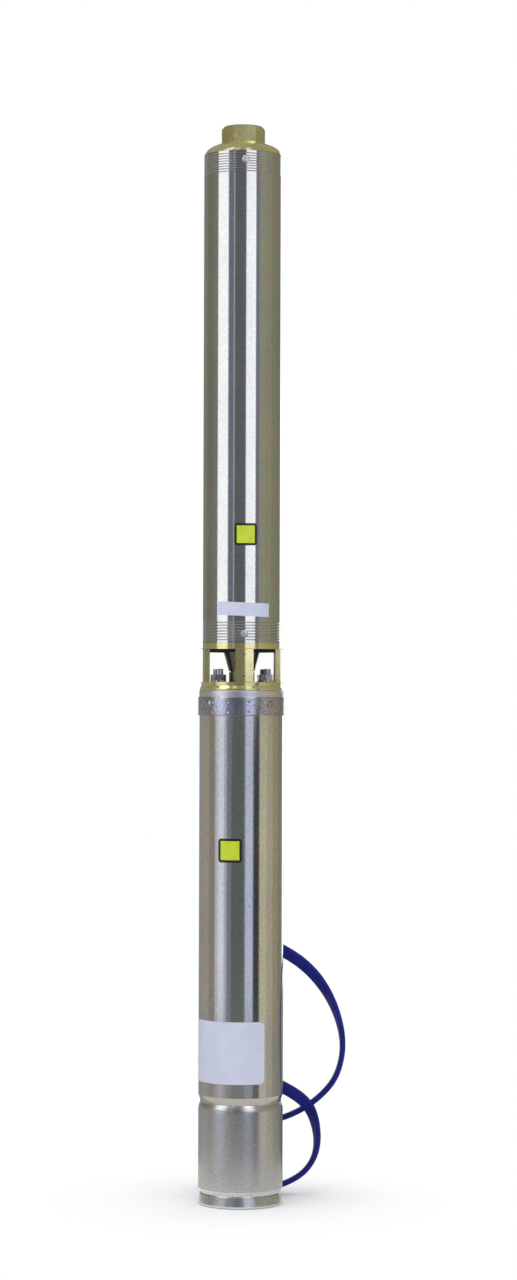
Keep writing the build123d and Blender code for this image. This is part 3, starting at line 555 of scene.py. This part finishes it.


# Each finish: two screen colours blended by broad noise, and fine noise for roughness and bump. Flecks are a
# scale and an amount, and the nested entry is a second finish on part of the same piece, in metres. On the
# brass it is painted shade, darkening the hub that lies in shade under the bracket's ring.
looks = {
    "brass": dict(
        metallic=0.88, colour=(240, 230, 158), second=(220, 206, 130), fine=even(900), broad=even(60),
        roughness=(0.07, 0.19), bump=0.06, bumpDepth=0.0002,
        speck=(150, 122, 84), speckScale=even(170), speckMost=0.35,
        coat=1.0, coatRoughness=0.12, coatIor=2.2, flecks=(even(420), 0.30),
        # painted shade: the hub below 660 mm and within 38.8 mm of the axis lies in shade under the ring, so
        # it is coloured dark and matt
        secondFinishAndShade=dict(
            below=0.660, within=0.0388, colour=(104, 92, 66), second=(66, 56, 40), broad=even(90),
            roughness=(0.45, 0.65),
        ),
    ),
    "stainless": dict(
        metallic=1.0, colour=(200, 200, 200), second=(184, 186, 188), fine=(60, 60, 2400), broad=even(60),
        roughness=(0.18, 0.30), bump=0.12, bumpDepth=0.0001,
    ),
    "polymer": dict(
        metallic=0.0, colour=(44, 44, 47), second=(36, 36, 39), fine=even(1400), broad=even(60),
        roughness=(0.42, 0.58), bump=0.15, bumpDepth=0.0001,
    ),
    "polymer_light": dict(
        metallic=0.0, colour=(214, 208, 190), second=(200, 192, 172), fine=even(1400), broad=even(60),
        roughness=(0.36, 0.5), bump=0.12, bumpDepth=0.0001,
    ),
    "polished_tube": dict(
        metallic=1.0, colour=(226, 225, 222), second=(216, 216, 216), fine=(24, 24, 900),
        broad=(14, 14, 9), roughness=(0.07, 0.12), bump=0.02, bumpDepth=0.00004,
        flecks=(even(300), 0.25),
    ),
    "satin_can": dict(
        metallic=1.0, colour=(232, 230, 225), second=(218, 217, 214), fine=even(1500),
        broad=(16, 16, 10), roughness=(0.10, 0.16), bump=0.05, bumpDepth=0.00006,
        flecks=(even(380), 0.42),
        secondFinishAndShade=dict(
            below=0.1155, colour=(230, 229, 230), second=(214, 213, 216), broad=(16, 16, 10),
            roughness=(0.22, 0.30),
        ),
    ),
    "fastener": dict(
        metallic=1.0, colour=(214, 212, 220), second=(168, 166, 176), fine=even(1600), broad=even(260),
        roughness=(0.14, 0.26), bump=0.2, bumpDepth=0.0001,
    ),
    "rubber": dict(
        metallic=0.0, colour=(34, 34, 36), second=(26, 26, 28), fine=even(1500), broad=even(80),
        roughness=(0.50, 0.68), bump=0.2, bumpDepth=0.0001,
    ),
    "coupling_steel": dict(
        metallic=1.0, colour=(168, 158, 140), second=(122, 112, 98), fine=(80, 80, 2200), broad=even(70),
        roughness=(0.28, 0.44), bump=0.2, bumpDepth=0.0002,
    ),
    "lamination": dict(
        metallic=1.0, colour=(120, 122, 128), second=(96, 98, 104), fine=(40, 40, 4000), broad=even(50),
        roughness=(0.42, 0.6), bump=0.4, bumpDepth=0.0002,
    ),
    "aluminium": dict(
        metallic=1.0, colour=(206, 207, 210), second=(186, 188, 192), fine=even(900), broad=even(60),
        roughness=(0.34, 0.5), bump=0.2, bumpDepth=0.0002,
    ),
    "copper_wire": dict(
        metallic=1.0, colour=(190, 104, 58), second=(160, 82, 44), fine=(60, 60, 1500), broad=even(90),
        roughness=(0.26, 0.42), bump=0.5, bumpDepth=0.0006,
    ),
    "core_wire": dict(
        metallic=1.0, colour=(214, 128, 78), second=(180, 96, 54), fine=(60, 60, 1500), broad=even(90),
        roughness=(0.26, 0.42), bump=0.3, bumpDepth=0.0002,
        secondFinishAndShade=dict(
            below=0.1, within=0.1786, colour=(64, 42, 30), second=(50, 34, 26), broad=even(200),
            roughness=(0.4, 0.52),
        ),
    ),
    "machined_steel": dict(
        metallic=1.0, colour=(246, 246, 252), second=(234, 234, 242), fine=(70, 70, 2600),
        broad=even(34), roughness=(0.34, 0.44), bump=0.10, bumpDepth=0.0001, flecks=(even(380), 0.35),
    ),
    "band_steel": dict(
        metallic=1.0, colour=(206, 208, 224), second=(192, 190, 204), fine=(240, 240, 900),
        broad=even(30), roughness=(0.16, 0.28), bump=0.14, bumpDepth=0.0001, flecks=(even(380), 0.40),
    ),
    "carbon": dict(
        metallic=0.0, colour=(46, 46, 49), second=(36, 36, 38), fine=even(1800), broad=even(90),
        roughness=(0.30, 0.46), bump=0.1, bumpDepth=0.0001,
    ),
    "casting": dict(
        metallic=1.0, colour=(112, 112, 114), second=(92, 92, 94), fine=even(700), broad=even(50),
        roughness=(0.5, 0.68), bump=0.5, bumpDepth=0.0005,
    ),
    "blue_sheath": dict(
        metallic=0.0, ior=1.36, colour=(8, 24, 138), second=(5, 16, 110), fine=even(1300), broad=even(40),
        roughness=(0.34, 0.48), bump=0.12, bumpDepth=0.0002,
    ),
    "label_white": dict(
        metallic=0.0, colour=(196, 200, 220), second=(188, 192, 212), fine=even(1500), broad=even(50),
        roughness=(0.34, 0.46), bump=0.05, bumpDepth=0.0001,
    ),
    # painted shade: a dark matt brown standing for the shade under the bracket's upper ring and in the pits
    # on the columns
    "recess": dict(
        metallic=0.4, colour=(46, 42, 30), second=(30, 28, 22), fine=even(1200), broad=even(200),
        roughness=(0.6, 0.8), bump=0.2, bumpDepth=0.0001,
    ),
}
finishes = {slotName: makeFinish(slotName + "Finish", look) for slotName, look in looks.items()}
markYellow = {
    "colour": (190, 208, 34), "second": (174, 196, 28), "frame": (30, 32, 24),
    "frameAt": 0.90, "frameHalf": 0.11, "wearScale": 120, "fineScale": 1500, "roughness": (0.32, 0.44),
}


def makeMarkYellow():  # yellow vinyl with a dark frame line, drawn on the sticker's own flat map
    made, tree, shader = startMaterial("markYellowFinish")
    flat = tree.nodes.new("ShaderNodeUVMap")
    flat.uv_map = "flat"
    split = tree.nodes.new("ShaderNodeSeparateXYZ")
    tree.links.new(flat.outputs[0], split.inputs[0])
    sides = []
    for axis in ("X", "Y"):
        away = tree.nodes.new("ShaderNodeMath")
        away.operation = "ABSOLUTE"
        tree.links.new(split.outputs[axis], away.inputs[0])
        sides.append(away.outputs[0])
    edge = tree.nodes.new("ShaderNodeMath")
    edge.operation = "MAXIMUM"
    tree.links.new(sides[0], edge.inputs[0])
    tree.links.new(sides[1], edge.inputs[1])
    frameLine = tree.nodes.new("ShaderNodeMath")
    frameLine.operation = "COMPARE"
    frameLine.inputs[1].default_value = markYellow["frameAt"]
    frameLine.inputs[2].default_value = markYellow["frameHalf"]
    tree.links.new(edge.outputs[0], frameLine.inputs[0])
    wear = between(tree, grain(tree, even(markYellow["wearScale"]), "wear"), 0.0, 1.0)
    worn = blendColours(tree, wear, toLinear(*markYellow["colour"]), toLinear(*markYellow["second"]))
    marked = blendColours(tree, frameLine.outputs[0], worn, toLinear(*markYellow["frame"]))
    rough = between(tree, grain(tree, even(markYellow["fineScale"]), "wear"), *markYellow["roughness"])
    tree.links.new(marked, shader.inputs["Base Color"])
    tree.links.new(rough, shader.inputs["Roughness"])
    return made


finishes["mark_yellow"] = makeMarkYellow()
ownFinish = {"lead_cores": "core_wire"}  # nodes whose finish isn't the one of their slot
for nodeName, node in parts.items():
    slots = node.data.materials
    for i in range(len(slots)):
        slots[i] = finishes[ownFinish.get(nodeName, slotOf[nodeName])]
motorLead.data.materials.append(finishes["blue_sheath"])
print("finishes on", len(parts), "nodes")

# Blank stickers, slightly proud of the metal and wrapped round the tube. Angles are on the axis, with the
# front at -90 degrees, and lengths are in millimetres.
stickers = {
    "motorLabel": dict(
        angle=-125.0, z=174.5, width=108.5, height=69.9, corner=6.0, tilt=0.0, radius=48.0, lift=0.12,
        finish="label_white",
    ),
    "tubeStrip": dict(
        angle=-91.4, z=673.2, width=62.4, height=15.2, corner=0.8, tilt=-2.2, radius=44.45, lift=0.12,
        finish="label_white",
    ),
    "tubeMark": dict(
        angle=-88.7, z=757.5, width=26.0, height=25.0, corner=3.4, tilt=0.0, radius=44.45, lift=0.10,
        finish="mark_yellow",
    ),
    "motorMark": dict(
        angle=-109.7, z=401.8, width=28.0, height=27.0, corner=3.4, tilt=0.0, radius=48.0, lift=0.10,
        finish="mark_yellow",
    ),
}
stickerGrid = {"across": 40, "up": 24, "gap": 0.02, "sharp": 40}


def makeSticker(name, spec):
    across, up = stickerGrid["across"], stickerGrid["up"]
    halfW, halfH, corner = spec["width"] / 2, spec["height"] / 2, spec["corner"]
    turn = math.radians(spec["tilt"])
    vertices, flat = [], []
    for layer in (stickerGrid["gap"], spec["lift"]):
        for j in range(up + 1):
            for i in range(across + 1):
                x, y = (2 * i / across - 1) * halfW, (2 * j / up - 1) * halfH
                dx, dy = abs(x) - (halfW - corner), abs(y) - (halfH - corner)
                if dx > 0 and dy > 0:  # the square corner pulled in to a round one
                    pull = max(dx, dy) / math.hypot(dx, dy)
                    x = math.copysign(halfW - corner + dx * pull, x)
                    y = math.copysign(halfH - corner + dy * pull, y)
                flat.append((x / halfW, y / halfH))
                x, y = x * math.cos(turn) - y * math.sin(turn), x * math.sin(turn) + y * math.cos(turn)
                radius = spec["radius"] + layer
                angle = spec["angle"] + math.degrees(x / radius)
                vertices.append(around(radius * mm, angle, (spec["z"] + y) * mm))
    row, layerSize, faces = across + 1, (across + 1) * (up + 1), []
    for j in range(up):
        for i in range(across):
            a = j * row + i
            faces.append((a, a + row, a + row + 1, a + 1))
            a += layerSize
            faces.append((a, a + 1, a + row + 1, a + row))
    rim = list(range(across)) + [j * row + across for j in range(up)]
    rim += [up * row + i for i in range(across, 0, -1)] + [j * row for j in range(up, 0, -1)]
    for a, b in zip(rim, rim[1:] + rim[:1]):
        faces.append((a, b, b + layerSize, a + layerSize))
    mesh = meshFrom(name, vertices, faces)
    flatMap = mesh.uv_layers.new(name="flat")
    for loop in mesh.loops:
        flatMap.data[loop.index].uv = flat[loop.vertex_index]
    mesh.set_sharp_from_angle(angle=math.radians(stickerGrid["sharp"]))
    sticker = addObject(name, mesh)
    mesh.materials.append(finishes[spec["finish"]])
    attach(sticker, "root")


def startTree(name, inputs):
    tree = bpy.data.node_groups.new(name, "GeometryNodeTree")
    tree.interface.new_socket(name="Geometry", in_out="OUTPUT", socket_type="NodeSocketGeometry")
    for label, kind in inputs:
        tree.interface.new_socket(name=label, in_out="INPUT", socket_type="NodeSocket" + kind)
    return tree, tree.nodes.new("NodeGroupInput"), tree.nodes.new("NodeGroupOutput")


def treeMesh(name, tree, values):  # runs the tree once and keeps a plain mesh
    holder = addObject(name + "Holder", bpy.data.meshes.new(name + "Holder"))
    modifier = holder.modifiers.new("copies", "NODES")
    modifier.node_group = tree
    for item in tree.interface.items_tree:
        if item.in_out == "INPUT" and item.name in values:
            modifier[item.identifier] = values[item.name]
    bpy.context.view_layer.update()
    mesh = bpy.data.meshes.new_from_object(holder.evaluated_get(bpy.context.evaluated_depsgraph_get()))
    holder.modifiers.remove(modifier)
    bpy.data.objects.remove(holder)
    mesh.materials.clear()
    return mesh


def keepPiece(piece, finish):  # its material, and what the frame has to know of it
    piece.data.materials.append(finishes[finish])
    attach(piece, "root")
    return piece


def ringTree():  # copies of one shape round the axis, at one or two levels
    tree, inside, outside = startTree("ringOfCopies", [
        ("Shape", "Object"), ("Count", "Int"), ("Radius", "Float"), ("Start Angle", "Float"),
        ("Bottom Level", "Float"), ("Levels", "Int"), ("Level Pitch", "Float"), ("Finish", "Material"),
    ])
    new, link = tree.nodes.new, tree.links.new
    shape = new("GeometryNodeObjectInfo")
    link(inside.outputs["Shape"], shape.inputs["Object"])
    outwardBy, moved = new("ShaderNodeCombineXYZ"), new("GeometryNodeTransform")
    link(inside.outputs["Radius"], outwardBy.inputs["X"])
    link(shape.outputs["Geometry"], moved.inputs["Geometry"])
    link(outwardBy.outputs[0], moved.inputs["Translation"])
    spots, number = new("GeometryNodeMeshLine"), new("GeometryNodeInputIndex")
    spots.inputs["Offset"].default_value = (0, 0, 0)
    link(inside.outputs["Count"], spots.inputs["Count"])
    step, turn = new("ShaderNodeMath"), new("ShaderNodeMath")
    step.operation, turn.operation = "DIVIDE", "MULTIPLY_ADD"
    step.inputs[0].default_value = math.tau
    link(inside.outputs["Count"], step.inputs[1])
    link(number.outputs[0], turn.inputs[0])
    link(step.outputs[0], turn.inputs[1])
    link(inside.outputs["Start Angle"], turn.inputs[2])
    spin, rotation = new("ShaderNodeCombineXYZ"), new("FunctionNodeEulerToRotation")
    link(turn.outputs[0], spin.inputs["Z"])
    link(spin.outputs[0], rotation.inputs[0])
    ring = new("GeometryNodeInstanceOnPoints")
    link(spots.outputs[0], ring.inputs["Points"])
    link(moved.outputs[0], ring.inputs["Instance"])
    link(rotation.outputs[0], ring.inputs["Rotation"])
    column = new("GeometryNodeMeshLine")
    base, pitch = new("ShaderNodeCombineXYZ"), new("ShaderNodeCombineXYZ")
    link(inside.outputs["Bottom Level"], base.inputs["Z"])
    link(inside.outputs["Level Pitch"], pitch.inputs["Z"])
    link(inside.outputs["Levels"], column.inputs["Count"])
    link(base.outputs[0], column.inputs["Start Location"])
    link(pitch.outputs[0], column.inputs["Offset"])
    levels = new("GeometryNodeInstanceOnPoints")
    link(column.outputs[0], levels.inputs["Points"])
    link(ring.outputs[0], levels.inputs["Instance"])
    real, paint = new("GeometryNodeRealizeInstances"), new("GeometryNodeSetMaterial")
    link(levels.outputs[0], real.inputs[0])
    link(real.outputs[0], paint.inputs["Geometry"])
    link(inside.outputs["Finish"], paint.inputs["Material"])
    link(paint.outputs[0], outside.inputs[0])
    return tree


helixDetail = {"stepsPerTurn": 40, "sides": 4}


def helixTree():  # a thread: a small square section, on its corner, swept along a spiral
    tree, inside, outside = startTree("threadHelix", [
        ("Radius", "Float"), ("Turns", "Float"), ("Bottom Level", "Float"), ("Height", "Float"),
        ("Depth", "Float"), ("Finish", "Material"),
    ])
    new, link = tree.nodes.new, tree.links.new
    spiral = new("GeometryNodeCurveSpiral")
    spiral.inputs["Resolution"].default_value = helixDetail["stepsPerTurn"]
    link(inside.outputs["Turns"], spiral.inputs["Rotations"])
    link(inside.outputs["Radius"], spiral.inputs["Start Radius"])
    link(inside.outputs["Radius"], spiral.inputs["End Radius"])
    link(inside.outputs["Height"], spiral.inputs["Height"])
    lifted, shift = new("GeometryNodeTransform"), new("ShaderNodeCombineXYZ")
    link(inside.outputs["Bottom Level"], shift.inputs["Z"])
    link(spiral.outputs[0], lifted.inputs["Geometry"])
    link(shift.outputs[0], lifted.inputs["Translation"])
    section = new("GeometryNodeCurvePrimitiveCircle")
    section.inputs["Resolution"].default_value = helixDetail["sides"]
    link(inside.outputs["Depth"], section.inputs["Radius"])
    swept = new("GeometryNodeCurveToMesh")
    swept.inputs["Fill Caps"].default_value = True
    real, paint = new("GeometryNodeRealizeInstances"), new("GeometryNodeSetMaterial")
    link(lifted.outputs[0], swept.inputs["Curve"])
    link(section.outputs[0], swept.inputs["Profile Curve"])
    link(swept.outputs[0], real.inputs[0])
    link(real.outputs[0], paint.inputs["Geometry"])
    link(inside.outputs["Finish"], paint.inputs["Material"])
    link(paint.outputs[0], outside.inputs[0])
    return tree


ringOfCopies, threadHelix = ringTree(), helixTree()


def copiesRound(name, shape, spec):  # copies of a helper shape round the axis; the helper then goes
    copies = treeMesh(name, ringOfCopies, {
        "Shape": shape, "Count": spec["count"], "Radius": spec["circle"] * mm,
        "Start Angle": math.radians(spec["angle"]), "Bottom Level": spec["low"] * mm,
        "Levels": spec["levels"], "Level Pitch": spec["pitch"] * mm, "Finish": finishes[spec["finish"]],
    })
    bpy.data.objects.remove(shape)
    return keepPiece(addObject(name, copies), spec["finish"])


def turned(name, profile, spec):  # a closed outline of (radius, height) turned round the axis
    size, count = len(profile), spec["around"]
    vertices = [around(radius * mm, 360 * i / count, z * mm) for i in range(count) for radius, z in profile]
    faces = []
    for i in range(count):
        a, b = i * size, (i + 1) % count * size
        faces += [(a + j, b + j, b + (j + 1) % size, a + (j + 1) % size) for j in range(size)]
    return addObject(name, outwards(meshFrom(name, vertices, faces), spec["sharp"]))


# Screws: round heads with a cross recess, in a ring round the motor's band and at both ends of the tube
recess = {
    "grid": 30, "halfWidth": 0.62, "length": 0.56, "depth": 0.75, "edge": 0.12, "endFade": 0.45, "sharp": 40,
}
screws = {
    "band": {
        "radius": 4.4, "proud": 0.5, "crown": 1.0, "sunk": 0.3, "circle": 49.45, "count": 4, "angle": 36.0,
        "low": 566.3, "levels": 1, "pitch": 0.0, "finish": "fastener",
    },
    "shell": {
        "radius": 4.2, "proud": 0.35, "crown": 1.1, "sunk": 1.2, "circle": 44.45, "count": 2, "angle": 90.0,
        "low": 645.5, "levels": 2, "pitch": 535.2, "finish": "machined_steel",
    },
}


def recessDepth(y, z, arm):  # 1 inside the cross, fading to 0 at its edges
    deepest = 0
    for across, along in ((abs(y), abs(z)), (abs(z), abs(y))):
        inSide = min(max((recess["halfWidth"] - across) / recess["edge"] + 0.5, 0), 1)
        inEnd = min(max((arm - along) / (arm * recess["endFade"]), 0), 1)
        deepest = max(deepest, inSide * inEnd)
    return deepest


def headShape(name, spec):  # one head, facing along X
    cells, radius = recess["grid"], spec["radius"]
    vertices, faces = [], []
    for j in range(cells + 1):
        for i in range(cells + 1):
            u, v = 2 * i / cells - 1, 2 * j / cells - 1
            pull = max(abs(u), abs(v)) / (math.hypot(u, v) or 1)  # the square grid pulled in to a disc
            y, z = u * pull * radius, v * pull * radius
            height = spec["proud"] + spec["crown"] * (1 - (math.hypot(y, z) / radius) ** 2)
            height -= recess["depth"] * recessDepth(y, z, radius * recess["length"])
            vertices.append((height, y, z))
    row = cells + 1
    for j in range(cells):
        for i in range(cells):
            a = j * row + i
            faces.append((a, a + 1, a + row + 1, a + row))
    rim = list(range(cells)) + [j * row + cells for j in range(cells)]
    rim += [cells * row + i for i in range(cells, 0, -1)] + [j * row for j in range(cells, 0, -1)]
    start, size = len(vertices), len(rim)
    vertices += [(-spec["sunk"], vertices[a][1], vertices[a][2]) for a in rim]
    for k in range(size):
        after = (k + 1) % size
        faces.append((rim[k], start + k, start + after, rim[after]))
    faces.append(tuple(range(start, start + size)))
    mesh = meshFrom(name, [(x * mm, y * mm, z * mm) for x, y, z in vertices], faces)
    return addObject(name, outwards(mesh, recess["sharp"]))


def makeScrews():
    for key, node in (("band", "band_screws"), ("shell", "shell_screws")):
        head = headShape(key + "HeadShape", screws[key])
        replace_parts(copiesRound(key + "ScrewHeads", head, screws[key]), node)


# The pump tube, with rings of fine rolled grooves at both ends
tube = {
    "wall": 2.0, "around": 240, "edge": 0.3, "sharp": 30, "grooveWidth": 1.5, "grooveDepth": 0.62,
    "topGrooves": 8, "topPitch": 2.86, "fromTop": 3.6,
    "lowGrooves": 7, "lowPitch": 3.25, "fromBottom": 3.6,
}


def makeTube():
    (_, _, low), (outer, _, high) = (tuple(v / mm for v in corner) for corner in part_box("pump_shell"))
    inner, edge, half = outer - tube["wall"], tube["edge"], tube["grooveWidth"] / 2
    levels = [low + tube["fromBottom"] + tube["lowPitch"] * i for i in range(tube["lowGrooves"])]
    levels += [high - tube["fromTop"] - tube["topPitch"] * i for i in reversed(range(tube["topGrooves"]))]
    profile = [(inner, low), (outer - edge, low), (outer, low + edge)]
    for level in levels:
        profile += [(outer, level - half), (outer - tube["grooveDepth"], level), (outer, level + half)]
    profile += [(outer, high - edge), (outer - edge, high), (inner, high)]
    made = keepPiece(turned("pumpTube", profile, tube), "polished_tube")
    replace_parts(made, "pump_shell")


# The retaining band with its punched dimples, a pair of pairs beside each screw and each middle
band = {
    "inner": 48.05, "outer": 49.45, "low": 553.3, "high": 574.3, "edge": 0.3, "around": 720, "up": 44,
    "sharp": 40,
    "dimpleRadius": 1.25, "dimpleDepth": 0.75, "dimpleRound": 0.8, "levels": (557.5, 568.7),
    "screwAngle": 36.0, "besideScrew": 9.2, "besideMiddle": 13.7,
}


def dimpleSpots():  # angle and height of every dimple
    spots = []
    for quarter in range(4):
        screw = band["screwAngle"] + 90 * quarter
        for centre, beside in ((screw, band["besideScrew"]), (screw + 45, band["besideMiddle"])):
            for angle in (centre - beside, centre + beside):
                spots += [(math.radians(angle) % math.tau, level) for level in band["levels"]]
    return spots


def makeBand():
    spots, count, outer = dimpleSpots(), band["around"], band["outer"]
    heights = [band["low"] + (band["high"] - band["low"]) * j / band["up"] for j in range(band["up"] + 1)]
    vertices, faces = [], []
    for z in heights:
        toEdge = min(z - band["low"], band["high"] - z)
        bevel = band["edge"] - math.sqrt(max(band["edge"] ** 2 - max(band["edge"] - toEdge, 0) ** 2, 0))
        for i in range(count):
            angle = math.tau * i / count
            radius = outer - bevel
            for spotAngle, level in spots:
                along = (angle - spotAngle + math.pi) % math.tau - math.pi
                reach = math.hypot(along * outer, z - level) / band["dimpleRadius"]
                if reach < 1:
                    radius -= band["dimpleDepth"] * (1 - reach ** 2) ** band["dimpleRound"]
            vertices.append(around(radius * mm, 360 * i / count, z * mm))
    for z in (band["high"], band["low"]):
        vertices += [around(band["inner"] * mm, 360 * i / count, z * mm) for i in range(count)]
    rows = len(heights) + 2
    for j in range(rows):
        low, high = j * count, (j + 1) % rows * count
        for i in range(count):
            k = (i + 1) % count
            faces.append((low + i, low + k, high + k, high + i))
    made = addObject("retainingBand", outwards(meshFrom("retainingBand", vertices, faces), band["sharp"]))
    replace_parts(keepPiece(made, "band_steel"), "retaining_band")


# Threads in the outlet and on the studs; lengths are in millimetres
threads = {
    "port": {"Radius": 15.25, "Turns": 8.6, "Bottom Level": 1204.2, "Height": 18.6, "Depth": 0.55},
    "stud": {"Radius": 3.95, "Turns": 4.5, "Bottom Level": 0.0, "Height": 5.6, "Depth": 0.30},
}
studs = {
    "count": 4, "circle": 38.1, "angle": 45.0, "low": 599.9, "levels": 1, "pitch": 0.0, "finish": "fastener",
}


def threadMesh(name, sizes, finish):
    values = {label: size if label == "Turns" else size * mm for label, size in sizes.items()}
    return treeMesh(name, threadHelix, {**values, "Finish": finishes[finish]})


def makeThreads():
    port = addObject("portThread", threadMesh("portThread", threads["port"], "brass"))
    keepPiece(port, "brass")
    one = addObject("studThreadShape", threadMesh("studThreadShape", threads["stud"], "fastener"))
    copiesRound("studThreads", one, studs)


# The inner edge under the bracket's upper ring: a ring coloured dark as painted shade, for the shade under
# that ring
innerLip = {
    "inner": 36.1, "outer": 38.4, "low": 624.9, "high": 628.6, "edge": 0.5, "around": 96, "sharp": 40,
}


def makeInnerLip():
    inner, outer, low, high, edge = (innerLip[key] for key in ("inner", "outer", "low", "high", "edge"))
    profile = [
        (inner, high), (inner, low + edge), (inner + edge, low),
        (outer - edge, low), (outer, low + edge), (outer, high),
    ]
    keepPiece(turned("bracketInnerLip", profile, innerLip), "recess")


# Two small dark discs down the middle of each column, just proud of it: painted shade standing for two small
# pits
columnPits = {
    "radius": 0.95, "taper": 0.8, "height": 0.12, "sides": 20,
    "count": 4, "circle": 44.45, "angle": 0.0, "low": 597.9, "levels": 2, "pitch": 24.7, "finish": "recess",
}


def makeColumnPits():
    shape, radius = bmesh.new(), columnPits["radius"] * mm
    bmesh.ops.create_cone(
        shape, cap_ends=True, segments=columnPits["sides"], radius1=radius,
        radius2=radius * columnPits["taper"], depth=columnPits["height"] * mm,
    )
    mesh = bpy.data.meshes.new("pitShape")
    shape.to_mesh(mesh)
    shape.free()
    mesh.transform(Matrix.Rotation(math.radians(90), 4, "Y"))
    copiesRound("columnPits", addObject("pitShape", mesh), columnPits)


for name, spec in stickers.items():
    makeSticker(name, spec)
makeTube()
makeScrews()
makeBand()
makeThreads()
makeInnerLip()
makeColumnPits()
print("stickers, tube, screws, band, threads, lip and pits made")

print("done")
